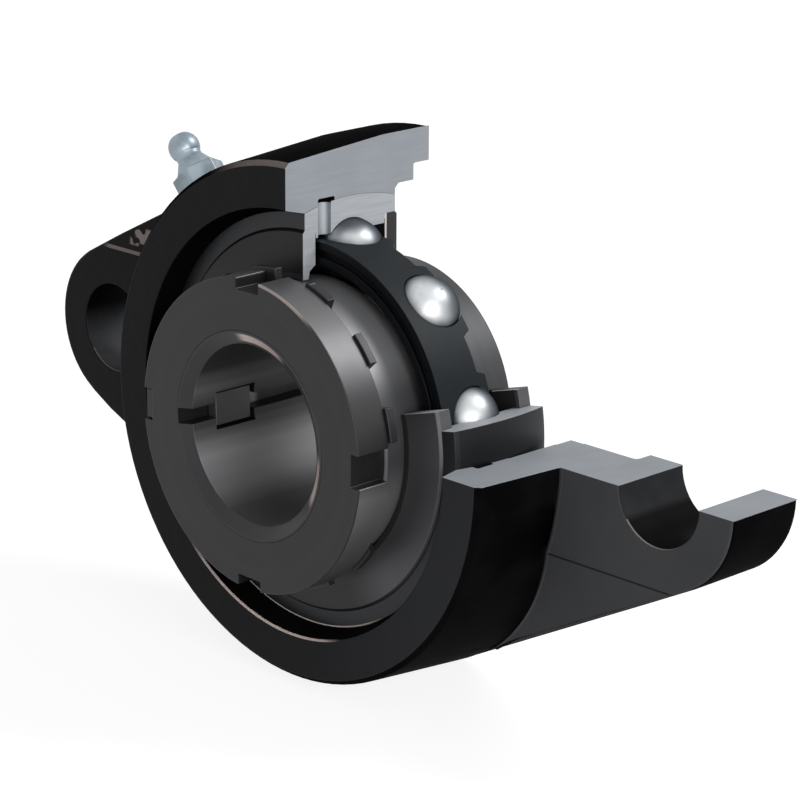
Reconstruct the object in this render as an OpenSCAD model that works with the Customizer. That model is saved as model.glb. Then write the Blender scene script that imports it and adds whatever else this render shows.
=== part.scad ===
// Two-bolt flange bearing with adapter sleeve, shown cut open on its upper right quarter.
// Every module is drawn with the shaft axis upright and the back face at z = 0,
// then face_forward() lays it down so that the front looks towards -Y.

/* [Shaft and sleeve] */
// Diameter of the shaft that the sleeve grips
shaft_d = 30; // [25:1:34]
// Length of the adapter sleeve
sleeve_l = 40.2; // [39:0.1:43]
// Diameter of the sleeve thread
thread_d = 34.8; // [34.6:0.1:35.4]
// Width of the slit along the sleeve
slit_w = 2.6; // [1.5:0.1:4]
// Angle of the slit round the shaft
key_at = 181; // [170:1:190]
// Chamfer at the mouth of the sleeve
mouth_chamfer = 2; // [0.5:0.1:2.1]

/* [Lock nut and washer] */
// Outside diameter of the lock nut
nut_d = 52; // [50:0.5:54]
// Width of the lock nut
nut_w = 6.5; // [5:0.5:7]
// Width of the spanner slots
nut_slot_w = 5.4; // [4:0.1:7]
// Depth of the spanner slots
nut_slot_h = 2; // [1:0.1:3]
// Number of spanner slots
nut_slots = 4; // [3:1:8]
// Thickness of the toothed washer
washer_t = 1.5; // [1:0.1:2]
// Outside diameter over the washer teeth
tooth_d = 53.2; // [52.8:0.1:60]
// Number of tooth places round the washer, one of them empty
teeth = 13; // [9:2:17]

/* [Bearing] */
// Outside diameter of the ball shaped outer ring
ring_d = 72; // [71.5:0.1:72.5]
// Width of the outer ring
ring_w = 20; // [19.8:0.1:20.4]
// Distance of the outer ring centre from the back face
ring_at = 17.7; // [17.5:0.1:18.1]
// Pitch circle diameter of the balls
pitch_d = 53.5; // [53.3:0.1:53.7]
// Diameter of a ball
ball_d = 11.1; // [10.9:0.1:11.3]
// Angle of the first ball
first_ball_at = 9.5; // [5:0.5:14]
// Width of the inner ring
inner_w = 29; // [28.6:0.1:29.4]
// Outside diameter of the inner ring
inner_d = 46.8; // [46.4:0.1:47]
// Inside diameter of the outer ring beside the ball track
shoulder_d = 60.4; // [60.2:0.1:61]
// Thickness of a seal
seal_t = 2.7; // [2.3:0.1:2.8]

/* [Housing] */
// Diameter of the round body at the back
body_d = 90; // [88:0.5:92]
// Diameter of the round body at the front
body_front_d = 86.8; // [84:0.2:88]
// Height of the body above the back face
body_h = 31.8; // [31.4:0.1:33.4]
// Distance between the bolt holes
bolt_pitch = 130; // [128:0.5:134]
// Diameter of a bolt hole
bolt_hole_d = 16; // [13:0.5:18]
// Thickness of the flange at the bolts
flange_t = 15; // [13:0.5:17]
// Thickness of the flange at its sloping edge
edge_t = 8; // [6:0.5:12]
// Radius of the flange round a bolt hole
lug_r = 14.8; // [13:0.1:17]
// Depth of the slot cast into the back
relief_h = 3.3; // [2:0.1:4]

/* [Cut faces and grease nipple] */
// Angle at which the outer ring is cut below the open quarter
ring_cut_at = 10; // [6:0.5:14]
// Angle at which the seals are cut
seal_cut_at = 15.5; // [10:0.5:20]
// Angle of the grease nipple round the shaft
nipple_at = 132; // [120:1:140]
// Height of the nipple above its seat
nipple_h = 10.2; // [9:0.1:13]

/* [Hidden] */
$fn = 96;
eps = 0.01;
far = 200;
balls = 9;

seat_gap = 0.02;
ball_gap = 0.09;
pocket_gap = 0.3;
side_gap = 0.6;
lip_gap = 0.3;
side_tuck = 0.02;

ball_r = ball_d / 2;
pitch_r = pitch_d / 2;
track_r = ball_r + ball_gap;
ring_r = ring_d / 2;
ring_back = ring_at - ring_w / 2;
ring_front = ring_at + ring_w / 2;
shoulder_r = shoulder_d / 2;
inner_r = inner_d / 2;
seal_rim_r = shoulder_r + 1.6;
seal_seat_h = 2.4;
seal_proud = 0.4;
seal_sheet = 0.9;
plate_in_r = inner_r + 1.2;
lip_root_r = inner_r + 2.4;
lip_back_r = inner_r + 1.6;
lip_edge_t = 0.3;
lip_back_t = 0.6;

inner_front = sleeve_l - nut_w - washer_t;
inner_back = inner_front - inner_w;
bore_front_r = thread_d / 2 + 0.2;
taper = 1 / 24;
edge_break = 0.6;
mouth_chamfer_h = 1.2;

window_w = 6.4;
window_below = 6.6;
window_above = 0.4;
window_back = inner_front - window_below;
window_front = inner_front + washer_t + window_above;
tongue_w = window_w - 0.8;
tongue_t = 1.5;
tongue_r = shaft_d / 2 + 0.3;
washer_r = nut_d / 2 - 2.6;
tooth_root = 1;
tooth_w = 5.5;
bent_tooth_w = nut_slot_w - 0.4;
bent_tooth_play = 0.4;
bent_tooth_gap = 0.2;
empty_place = (teeth - 1) / 2;
bore_play = 0.1;
window_play = 0.6;

cage_out_r = shoulder_r - side_gap;
cage_in_r = inner_r + side_gap;
cage_front = ring_front - seal_seat_h - 0.4;
web_back = ring_at - 2;
horn_back = ring_at - 3.6;
pocket_r = ball_r + pocket_gap;
horn_t = 1.6;
pocket_from = cage_in_r - 1.5;
pocket_waist = pitch_r + 0.8 - pocket_from;
pocket_mouth_r = sqrt(pow(ball_r, 2) - pow(cage_out_r - pitch_r, 2)) + 0.25;
cage_mouth_r = cage_in_r + 1.8;
cage_mouth_h = 2.6;
cage_groove_w = 1.2;
cage_groove_h = 0.8;

seat_r = ring_r + seat_gap;
lip_r = sqrt(seat_r * seat_r - ring_w * ring_w / 4);
lip_flare = 1.1;
skirt_h = flange_t * 0.7;
front_chamfer = 0.8;
corner_r = 0.4;
recess_r = ring_r + 3.2;
recess_h = 3.5;
throat_r = ring_r + 0.4;
throat_corner = 0.8;
throat_back = ring_back - throat_corner;
groove_offset = 5.3;
groove_at = ring_at + groove_offset;
groove_w = 3.6;
groove_r = ring_r + 0.5;
groove_in_r = ring_r - 2;
hole_d = 2.8;
hole_offset = 5.7;
hole_at = ring_at + hole_offset;
slot_half = ring_w / 2 + 0.4;
relief_half = slot_half + 1.6;
relief_reach = bolt_pitch / 2 - lug_r;

boss_r = 5.2;
boss_proud = 0.1;
boss_reach = max(body_r(groove_at - boss_r), body_r(groove_at + boss_r)) + boss_proud;
nipple_seat = boss_reach;
nipple_thread_d = 5;
nipple_end_gap = 3.4;
nipple_thread_l = boss_reach - ring_r - nipple_end_gap;
nipple_hex = 8;
nipple_hex_h = 3.2;
nipple_cone_d = nipple_hex - 0.6;
nipple_neck_d = 4.4;
nipple_head_d = 5.4;
nipple_head_h = 4.4;
nipple_duct_d = 2;
nipple_ball_d = 2.2;
nipple_mouth_d = nipple_ball_d + 0.1;
nipple_tip_h = 0.8;
nipple_ball_at = nipple_h - nipple_tip_h - sqrt(pow(nipple_ball_d, 2) - pow(nipple_duct_d, 2)) / 2 - 0.05;

// Radius of the round body at a height z above its straight skirt
function body_r(z) =
  body_d / 2 + (body_front_d - body_d) / 2 * (z - skirt_h) / (body_h - front_chamfer - skirt_h);

// Radius of the tapered joint between sleeve and inner ring at a height z
function taper_r(z) = bore_front_r + (inner_front - z) * taper;

module face_forward() {
  rotate([90, 0, 0]) children();
}

// A sector of a disc that takes away everything between two angles
module sector(from, to) {
  steps = 6;
  step = (to - from) / steps;
  rim = [for (i = [0 : steps]) far * [cos(from + i * step), sin(from + i * step)]];
  translate([0, 0, -far / 2]) linear_extrude(far) polygon(concat([[0, 0]], rim));
}

module ball_track() {
  translate([0, 0, ring_at]) rotate_extrude() translate([pitch_r, 0]) circle(r = track_r);
}

// Drawing along a line that leaves the shaft axis at an angle and a height
module radial(angle, z) {
  translate([0, 0, z]) rotate([0, 0, angle]) rotate([0, 90, 0]) children();
}

module ring_of(r_out, r_in, from, to) {
  difference() {
    translate([0, 0, from]) cylinder(h = to - from, r = r_out);
    translate([0, 0, from - eps]) cylinder(h = to - from + 2 * eps, r = r_in);
  }
}

// Outline of the flange: a disc, two lugs and straight sides a hair inside their common tangents
module flange_outline() {
  reach = bolt_pitch / 2;
  lean = asin((body_d / 2 - lug_r) / reach);
  disc_x = (body_d / 2 - side_tuck) * sin(lean);
  disc_y = (body_d / 2 - side_tuck) * cos(lean);
  lug_x = reach + (lug_r - side_tuck) * sin(lean);
  lug_y = (lug_r - side_tuck) * cos(lean);
  circle(d = body_d);
  for (side = [-1, 1]) translate([side * reach, 0]) circle(r = lug_r);
  polygon([
    [disc_x, disc_y], [lug_x, lug_y], [lug_x, -lug_y], [disc_x, -disc_y],
    [-disc_x, -disc_y], [-lug_x, -lug_y], [-lug_x, lug_y], [-disc_x, disc_y]
  ]);
}

// The flange front is flat between the lugs' edges and slopes back above and below
module flange() {
  slope = atan((flange_t - edge_t) / (body_d / 2 - lug_r));
  difference() {
    linear_extrude(flange_t) flange_outline();
    for (side = [0, 1]) mirror([0, side, 0]) {
      translate([-far, lug_r, flange_t]) rotate([-slope, 0, 0]) cube([2 * far, far, far]);
    }
  }
}

module body() {
  top = body_h - front_chamfer;
  rotate_extrude() polygon([
    [0, 0], [body_d / 2 - corner_r, 0], [body_d / 2, corner_r], [body_d / 2, skirt_h],
    [body_front_d / 2, top], [body_front_d / 2 - front_chamfer, body_h], [0, body_h]
  ]);
}

module nipple_boss() {
  radial(nipple_at, groove_at) translate([0, 0, ring_r]) cylinder(h = boss_reach - ring_r, r = boss_r);
}

// The seat for the outer ring with its front lip and the wider mouths behind it
module seat() {
  translate([0, 0, ring_at]) sphere(r = seat_r);
  translate([0, 0, ring_front]) cylinder(h = body_h - ring_front + eps, r1 = lip_r, r2 = lip_r + lip_flare);
  translate([0, 0, throat_back]) cylinder(h = throat_corner, r1 = throat_r, r2 = throat_r - throat_corner);
  translate([0, 0, -eps]) cylinder(h = throat_back + 2 * eps, r = throat_r);
  translate([0, 0, -eps]) cylinder(h = recess_h + eps, r = recess_r);
  ring_of(groove_r, groove_in_r, groove_at - groove_w / 2, groove_at + groove_w / 2);
}

// Two slots at the back let the outer ring in edgewise before it is turned upright
module filling_slots() {
  intersection() {
    translate([0, 0, -eps]) cylinder(h = ring_at, r = ring_r + 0.2);
    translate([-far / 2, -slot_half, -eps]) cube([far, 2 * slot_half, ring_at]);
  }
}

module bolt_holes() {
  for (side = [-1, 1]) {
    translate([side * bolt_pitch / 2, 0, -eps]) cylinder(h = flange_t + 2 * eps, d = bolt_hole_d);
  }
}

module housing() {
  color([0.1, 0.1, 0.11]) face_forward() difference() {
    union() {
      body();
      flange();
      nipple_boss();
    }
    seat();
    filling_slots();
    bolt_holes();
    translate([-relief_reach, -relief_half, -eps]) cube([2 * relief_reach, 2 * relief_half, relief_h + eps]);
    radial(nipple_at, groove_at) translate([0, 0, ring_r]) cylinder(h = far / 2, d = nipple_thread_d);
    translate([0, 0, -far / 2]) cube(far);
  }
}

module outer_ring() {
  color([0.6, 0.62, 0.65]) face_forward() difference() {
    intersection() {
      translate([0, 0, ring_at]) sphere(r = ring_r);
      translate([0, 0, ring_back]) cylinder(h = ring_w, r = ring_r + 1);
    }
    translate([0, 0, -eps]) cylinder(h = body_h, r = shoulder_r);
    ball_track();
    translate([0, 0, ring_back - eps]) cylinder(h = seal_seat_h + eps, r = seal_rim_r);
    translate([0, 0, ring_front - seal_seat_h]) cylinder(h = seal_seat_h + eps, r = seal_rim_r);
    radial(90, hole_at) cylinder(h = far / 2, d = hole_d);
    sector(ring_cut_at, 90);
  }
}

module inner_ring() {
  color([0.35, 0.36, 0.38]) face_forward() difference() {
    rotate_extrude() polygon([
      [taper_r(inner_back), inner_back], [inner_r - edge_break, inner_back],
      [inner_r, inner_back + edge_break], [inner_r, inner_front - edge_break],
      [inner_r - edge_break, inner_front], [taper_r(inner_front), inner_front]
    ]);
    ball_track();
  }
}

module pocket_at(i) {
  radial(first_ball_at + i * 360 / balls, ring_at) translate([0, 0, pocket_from]) children();
}

// The snap cage: a ring in front, horns round each ball, open behind, pockets drawn in over the balls
module cage() {
  fold_out_r = (cage_out_r + cage_mouth_r + cage_groove_w) / 2;
  fold_in_r = fold_out_r - cage_groove_w;
  color([0.09, 0.1, 0.12]) face_forward() difference() {
    intersection() {
      union() {
        ring_of(cage_out_r, cage_in_r, web_back, cage_front);
        for (i = [0 : balls - 1]) {
          pocket_at(i) cylinder(h = cage_out_r, r = pocket_r + horn_t);
        }
      }
      ring_of(cage_out_r, cage_in_r, horn_back, cage_front);
    }
    for (i = [0 : balls - 1]) {
      pocket_at(i) cylinder(h = pocket_waist + eps, r = pocket_r);
      pocket_at(i) translate([0, 0, pocket_waist]) {
        cylinder(h = cage_out_r - pocket_from - pocket_waist + eps, r1 = pocket_r, r2 = pocket_mouth_r);
      }
    }
    translate([0, 0, cage_front - cage_mouth_h]) {
      cylinder(h = cage_mouth_h + eps, r1 = cage_in_r, r2 = cage_mouth_r);
    }
    ring_of(fold_out_r, fold_in_r, cage_front - cage_groove_h, cage_front + cage_groove_h);
  }
}

module ball(number) {
  color([0.8, 0.81, 0.82]) face_forward() {
    radial(first_ball_at + (number - 1) * 360 / balls, ring_at) translate([0, 0, pitch_r]) sphere(r = ball_r);
  }
}

// Sheet ring of the front seal, with its rim pressed into the outer ring
module seal_plate() {
  face = ring_front + seal_proud;
  bend_r = seal_rim_r - seal_sheet;
  back = ring_front - seal_seat_h;
  rotate_extrude() polygon([
    [plate_in_r, face], [seal_rim_r - seal_proud, face], [seal_rim_r, ring_front], [seal_rim_r, back],
    [bend_r, back], [bend_r, face - seal_sheet], [plate_in_r, face - seal_sheet]
  ]);
}

// Rubber behind the sheet with a lip that leans on the inner ring
module seal_lip() {
  face = ring_front + seal_proud;
  top = face - seal_sheet;
  bend_r = seal_rim_r - seal_sheet;
  edge_r = inner_r + lip_gap;
  rotate_extrude() polygon([
    [edge_r, face], [plate_in_r, face], [plate_in_r, top], [bend_r, top],
    [bend_r, face - seal_t], [lip_root_r, face - seal_t],
    [lip_back_r, top - lip_back_t], [edge_r, top - lip_edge_t]
  ]);
}

module to_rear() {
  translate([0, 0, ring_at]) mirror([0, 0, 1]) translate([0, 0, -ring_at]) children();
}

module front_seal_plate() {
  color([0.2, 0.2, 0.21]) face_forward() difference() {
    seal_plate();
    sector(seal_cut_at, 90);
  }
}

module front_seal_lip() {
  color([0.12, 0.12, 0.12]) face_forward() difference() {
    seal_lip();
    sector(seal_cut_at, 90);
  }
}

module rear_seal_plate() {
  color([0.2, 0.2, 0.21]) face_forward() difference() {
    to_rear() seal_plate();
    sector(seal_cut_at, 90);
  }
}

module rear_seal_lip() {
  color([0.12, 0.12, 0.12]) face_forward() difference() {
    to_rear() seal_lip();
    sector(seal_cut_at, 90);
  }
}

// The sleeve is tapered inside the inner ring and threaded under the nut
module adapter_sleeve() {
  color([0.33, 0.34, 0.36]) face_forward() difference() {
    rotate_extrude() polygon([
      [shaft_d / 2, 0], [taper_r(0) - edge_break, 0], [taper_r(edge_break), edge_break],
      [taper_r(inner_front), inner_front], [thread_d / 2, inner_front], [thread_d / 2, sleeve_l],
      [shaft_d / 2 + mouth_chamfer, sleeve_l], [shaft_d / 2, sleeve_l - mouth_chamfer_h]
    ]);
    rotate([0, 0, key_at]) translate([0, -slit_w / 2, -eps]) cube([far, slit_w, sleeve_l + 2 * eps]);
    rotate([0, 0, key_at]) translate([0, -window_w / 2, window_back]) {
      cube([far, window_w, window_front - window_back]);
    }
  }
}

module lock_nut() {
  slot_r = nut_d / 2 - nut_slot_h;
  from = sleeve_l - nut_w;
  color([0.3, 0.31, 0.33]) face_forward() difference() {
    ring_of(nut_d / 2, thread_d / 2, from, sleeve_l);
    for (i = [0 : nut_slots - 1]) rotate([0, 0, i * 360 / nut_slots]) {
      translate([slot_r, -nut_slot_w / 2, from - eps]) cube([far, nut_slot_w, nut_w + 2 * eps]);
    }
  }
}

// One tongue of the washer turns down into the sleeve, one tooth stands in the slot of the nut
module lock_washer() {
  from = inner_front;
  bent_at = key_at - 1;
  root_r = washer_r - tooth_root;
  slot_r = nut_d / 2 - nut_slot_h;
  tongue_back = window_back + window_play;
  bent_tooth_l = washer_t + nut_w - bent_tooth_play;
  color([0.27, 0.28, 0.3]) face_forward() {
    ring_of(washer_r, thread_d / 2 + bore_play, from, from + washer_t);
    intersection() {
      ring_of(tooth_d / 2, root_r, from, from + washer_t);
      for (i = [1 : teeth - 1]) if (i != empty_place) rotate([0, 0, bent_at + i * 360 / teeth]) {
        translate([0, -tooth_w / 2, from]) cube([tooth_d / 2, tooth_w, washer_t]);
      }
    }
    rotate([0, 0, bent_at]) translate([0, -bent_tooth_w / 2, from]) {
      translate([root_r, 0, 0]) cube([nut_d / 2 - root_r, bent_tooth_w, washer_t]);
      translate([slot_r + bent_tooth_gap, 0, 0]) cube([washer_t, bent_tooth_w, bent_tooth_l]);
    }
    rotate([0, 0, key_at]) translate([0, -tongue_w / 2, 0]) {
      translate([tongue_r, 0, tongue_back]) cube([tongue_t, tongue_w, from + washer_t - tongue_back]);
      translate([tongue_r, 0, from]) cube([root_r - tongue_r, tongue_w, washer_t]);
    }
  }
}

module grease_nipple() {
  collar = nipple_hex_h + 0.8;
  neck_to = nipple_h - nipple_head_h;
  color([0.62, 0.65, 0.68]) face_forward() radial(nipple_at, groove_at) difference() {
    translate([0, 0, nipple_seat]) {
      translate([0, 0, -nipple_thread_l]) cylinder(h = nipple_thread_l + eps, d = nipple_thread_d);
      rotate([0, 0, 30]) cylinder(h = nipple_hex_h, d = nipple_hex / cos(30), $fn = 6);
      translate([0, 0, nipple_hex_h - eps]) {
        cylinder(h = neck_to - nipple_hex_h, d1 = nipple_cone_d, d2 = nipple_neck_d);
      }
      translate([0, 0, collar - 1]) cylinder(h = nipple_h - collar, d = nipple_neck_d);
      translate([0, 0, neck_to]) intersection() {
        translate([0, 0, nipple_head_h / 2]) sphere(d = nipple_head_d);
        cylinder(h = nipple_head_h, d = nipple_head_d);
      }
    }
    translate([0, 0, nipple_seat - nipple_thread_l - eps]) cylinder(h = far, d = nipple_duct_d);
    translate([0, 0, nipple_seat + neck_to]) cylinder(h = nipple_head_h - nipple_tip_h, d = nipple_mouth_d);
  }
}

module nipple_ball() {
  color([0.75, 0.76, 0.77]) face_forward() {
    radial(nipple_at, groove_at) translate([0, 0, nipple_seat + nipple_ball_at]) sphere(d = nipple_ball_d);
  }
}

housing();
outer_ring();
inner_ring();
cage();
ball(1);  // ball_1
ball(2);  // ball_2
ball(3);  // ball_3
ball(4);  // ball_4
ball(5);  // ball_5
ball(6);  // ball_6
ball(7);  // ball_7
ball(8);  // ball_8
ball(9);  // ball_9
front_seal_plate();
front_seal_lip();
rear_seal_plate();
rear_seal_lip();
adapter_sleeve();
lock_nut();
lock_washer();
grease_nipple();
nipple_ball();
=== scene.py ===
# Looks of a two-bolt flange bearing that is sawn open on its upper right quarter.
# The shaft axis is the Y axis, the front looks towards -Y, and everything is in metres.
import math
import bpy
import bmesh
from itertools import combinations
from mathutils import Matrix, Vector


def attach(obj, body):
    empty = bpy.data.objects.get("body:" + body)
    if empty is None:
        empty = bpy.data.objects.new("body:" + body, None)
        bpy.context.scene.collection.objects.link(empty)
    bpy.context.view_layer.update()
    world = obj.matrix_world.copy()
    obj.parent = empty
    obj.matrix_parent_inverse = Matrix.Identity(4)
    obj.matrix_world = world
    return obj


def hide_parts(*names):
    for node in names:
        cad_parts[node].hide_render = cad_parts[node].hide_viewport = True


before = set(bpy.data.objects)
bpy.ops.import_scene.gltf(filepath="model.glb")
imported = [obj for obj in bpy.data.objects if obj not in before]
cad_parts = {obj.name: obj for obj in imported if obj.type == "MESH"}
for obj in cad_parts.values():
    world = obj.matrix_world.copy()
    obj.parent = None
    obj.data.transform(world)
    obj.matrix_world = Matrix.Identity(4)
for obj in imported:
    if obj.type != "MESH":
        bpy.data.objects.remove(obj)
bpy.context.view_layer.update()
print("frame loaded,", len(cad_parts), "nodes")

mm = 0.001
degree = math.pi / 180
spare = 1.0 * mm  # how far a cutting shape stands out past what it cuts
touch = 0.01 * mm  # the same where a cutting shape has to end on a face


# A node socket that takes part in Python expressions
class Wire:
    def __init__(self, tree, socket):
        self.tree = tree
        self.socket = socket

    def maths(self, operation, *values):
        return self.tree.node("ShaderNodeMath", {"operation": operation}, dict(enumerate(values)))

    def __add__(self, other):
        return self.maths("ADD", self, other)

    def __radd__(self, other):
        return self.maths("ADD", other, self)

    def __sub__(self, other):
        return self.maths("SUBTRACT", self, other)

    def __rsub__(self, other):
        return self.maths("SUBTRACT", other, self)

    def __mul__(self, other):
        return self.maths("MULTIPLY", self, other)

    def __rmul__(self, other):
        return self.maths("MULTIPLY", other, self)

    def __truediv__(self, other):
        return self.maths("DIVIDE", self, other)

    def __gt__(self, other):
        return self.maths("GREATER_THAN", self, other)

    def __lt__(self, other):
        return self.maths("LESS_THAN", self, other)

    def root(self):
        return self.maths("SQRT", self)

    def size(self):
        return self.maths("ABSOLUTE", self)

    def atLeast(self, other):
        return self.maths("MAXIMUM", self, other)

    def ramp(self, low, high):
        settings = {"interpolation_type": "SMOOTHSTEP"}
        inputs = {"Value": self, "From Min": low, "From Max": high}
        return self.tree.node("ShaderNodeMapRange", settings, inputs)

    # 1 within half of the middle, falling to 0 over the soft width; the dictionaries hold all three together
    def band(self, middle, half, soft):
        return 1.0 - (self - middle).size().ramp(half, half + soft)


# A node tree: one method makes any node, the others name what this scene uses often
class Tree:
    def __init__(self, nodeTree):
        self.nodeTree = nodeTree
        nodeTree.nodes.clear()

    def node(self, kind, settings=None, inputs=None, output=0):
        made = self.nodeTree.nodes.new(kind)
        for name, value in (settings or {}).items():
            if name == "stops":
                for spot, (place, colour) in zip(self.rampSpots(made, len(value)), value):
                    spot.position = place
                    spot.color = (*colour, 1.0)
            else:
                setattr(made, name, value)
        for name, value in (inputs or {}).items():
            self.feed(made.inputs[name], value)
        return Wire(self, made.outputs[output]) if made.outputs else None

    def rampSpots(self, made, count):
        spots = made.color_ramp.elements
        while len(spots) < count:
            spots.new(0.5)
        return spots

    def feed(self, socket, value):
        if isinstance(value, Wire):
            self.nodeTree.links.new(value.socket, socket)
        elif isinstance(value, list):
            for wire in value:
                self.nodeTree.links.new(wire.socket, socket)
        elif isinstance(value, tuple) and socket.type == "RGBA":
            socket.default_value = (*value, 1.0)
        else:
            socket.default_value = value

    def place(self):
        return self.node("ShaderNodeTexCoord", output="Object")

    def parts(self, vector):
        split = self.nodeTree.nodes.new("ShaderNodeSeparateXYZ")
        self.feed(split.inputs[0], vector)
        return [Wire(self, split.outputs[axis]) for axis in range(3)]

    # Distance from the shaft axis, place along it and angle round it in degrees
    def turning(self):
        x, y, z = self.parts(self.place())
        angle = self.node("ShaderNodeMath", {"operation": "ARCTAN2"}, {0: z, 1: x})
        return (x * x + z * z).root(), y, angle / degree

    # Mask of a thin line on an edge that runs round the shaft axis, softly ending at both angles
    def edgeLine(self, edgeRadius, edgePlace, middle, half, soft, width=0.24 * mm, fade=0.06 * mm):
        radius, along, angle = self.turning()
        here = radius.band(edgeRadius, width, fade) * along.band(edgePlace, width, fade)
        return here * angle.band(middle, half, soft)

    def vector(self, x, y, z):
        return self.node("ShaderNodeCombineXYZ", inputs={0: x, 1: y, 2: z})

    def noise(self, vector, scale, detail=2.0, roughness=0.5):
        inputs = {"Vector": vector, "Scale": scale, "Detail": detail, "Roughness": roughness}
        return self.node("ShaderNodeTexNoise", inputs=inputs, output="Fac")

    def blend(self, factor, low, high):
        mixed = self.nodeTree.nodes.new("ShaderNodeMix")
        mixed.data_type = "RGBA"
        self.feed(mixed.inputs[0], factor)
        self.feed(mixed.inputs[6], low)
        self.feed(mixed.inputs[7], high)
        return Wire(self, mixed.outputs[2])

    def bump(self, height, distance, strength=1.0, normal=None):
        inputs = {"Height": height, "Distance": distance, "Strength": strength}
        if normal is not None:
            inputs["Normal"] = normal
        return self.node("ShaderNodeBump", inputs=inputs)


def surface(name, fixed, recipe):
    material = bpy.data.materials.new(name)
    material.use_nodes = True
    tree = Tree(material.node_tree)
    inputs = dict(fixed)
    inputs.update(recipe(tree))
    shader = tree.node("ShaderNodeBsdfPrincipled", inputs=inputs)
    tree.node("ShaderNodeOutputMaterial", inputs={"Surface": shader})
    return material


# Cast iron in black paint: front faces, flange and side walls differ in tone; painted light makes the front
# ring lighter to the right and the right lug lighter, painted shade makes the left lug darker
castLook = {"front": (0.0090, 0.0092, 0.0105), "frontRightShading": (0.0300, 0.0308, 0.0345),
            "frontFade": (-5.0 * mm, 40.0 * mm), "lugLeftShade": (0.0045, 0.0047, 0.0055),
            "lugRight": (0.0920, 0.0940, 0.1020), "lugCloud": (0.012, 0.012, 0.013), "bodyRadius": 45.1 * mm,
            "creaseShade": (0.003, 0.003, 0.003), "creaseShadeHeight": (14.8 * mm, 0.10 * mm, 0.14 * mm),
            "roughness": 0.42, "specular": 0.065, "grain": 1500.0, "grainDepth": 0.06 * mm,
            "waves": 260.0, "waveDepth": 0.16 * mm, "clouds": 55.0}

# Painted highlights, light lines and patches standing in for glints: the lip's edge, the front ring's chamfer
# and the top of the left lug
highlightLook = {"colour": (0.78, 0.66, 0.61), "lipRadius": 35.7 * mm, "lipPlace": -31.8 * mm,
            "lipAngles": (-102.0, 24.0, 9.0), "chamferRadius": (43.0 * mm, 0.42 * mm, 0.1 * mm),
            "chamferPlace": (-31.4 * mm, 0.42 * mm, 0.1 * mm), "chamferAngles": (97.0, 6.0, 14.0),
            "chamferHighlight": 0.28, "lugFront": -6.0 * mm, "streakHeight": (15.0 * mm, 0.25 * mm, 0.15 * mm),
            "streakAcross": (-61.0 * mm, 4.5 * mm, 2.5 * mm), "streakHighlight": 0.42,
            "patchHeight": (17.9 * mm, 1.3 * mm, 0.5 * mm), "patchAcross": (-57.5 * mm, 2.6 * mm, 0.8 * mm),
            "patchSpots": 420.0, "patchHighlight": 0.55}


# painted highlight lines on the lip's edge and the front ring's chamfer
def wornFront(tree, grain):
    radius, along, angle = tree.turning()
    chamfer = radius.band(*highlightLook["chamferRadius"]) * along.band(*highlightLook["chamferPlace"])
    chamfer = chamfer * angle.band(*highlightLook["chamferAngles"]) * highlightLook["chamferHighlight"]
    lip = tree.edgeLine(highlightLook["lipRadius"], highlightLook["lipPlace"], *highlightLook["lipAngles"])
    return lip.atLeast(chamfer) * (0.7 + 0.5 * grain)


# painted highlight streak and patch on the top of the left lug
def wornLug(tree, here, onFlange):
    x, y, z = tree.parts(here)
    leftTop = onFlange * (x < 0.0) * (z > 0.0) * (y < highlightLook["lugFront"])
    streak = z.band(*highlightLook["streakHeight"]) * leftTop * x.band(*highlightLook["streakAcross"])
    patch = z.band(*highlightLook["patchHeight"]) * leftTop * x.band(*highlightLook["patchAcross"])
    patch = patch * tree.noise(here, highlightLook["patchSpots"], 1.0).ramp(0.50, 0.56)
    return (streak * highlightLook["streakHighlight"]).atLeast(patch * highlightLook["patchHighlight"])


def castPaint(tree):
    here = tree.place()
    x, y, z = tree.parts(here)
    radius, along, angle = tree.turning()
    grain = tree.noise(here, castLook["grain"], 3.0, 0.6)
    waves = tree.noise(here, castLook["waves"], 2.0)
    cloud = tree.noise(here, castLook["clouds"], 3.0)
    onFlange = radius > castLook["bodyRadius"]
    # painted light and shade: the front ring lighter to the right, the left lug darker, the right lug lighter
    ring = tree.blend(x.ramp(*castLook["frontFade"]), castLook["front"], castLook["frontRightShading"])
    lug = tree.blend(x > 0.0, castLook["lugLeftShade"], castLook["lugRight"])
    lug = tree.blend(0.35 * cloud, lug, castLook["lugCloud"])
    colour = tree.blend(onFlange, ring, lug)
    # painted shade: a dark line along the flange's crease on the right side
    creaseShade = z.size().band(*castLook["creaseShadeHeight"]) * onFlange
    colour = tree.blend(creaseShade * (x > 0.0) * 0.8, colour, castLook["creaseShade"])
    # painted highlights on the front edges and on the left lug
    highlight = wornFront(tree, grain).atLeast(wornLug(tree, here, onFlange))
    colour = tree.blend(highlight, colour, highlightLook["colour"])
    low = tree.bump(waves, castLook["waveDepth"], 0.5)
    normal = tree.bump(grain, castLook["grainDepth"], 0.7, low)
    return {"Base Color": colour, "Roughness": castLook["roughness"] + 0.14 * cloud, "Normal": normal}


housingPaint = surface("housingPaint", {"Specular IOR Level": castLook["specular"]}, castPaint)

# The side walls are duller, and painted shade makes them nearly black high up
wallLook = {"dark": (0.0022, 0.0022, 0.0026), "light": (0.0052, 0.0052, 0.0058),
            "high": (0.0003, 0.0003, 0.0004), "highShadeFade": (18.0 * mm, 36.0 * mm),
            "roughness": 0.72, "specular": 0.01, "clouds": 90.0}


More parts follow.
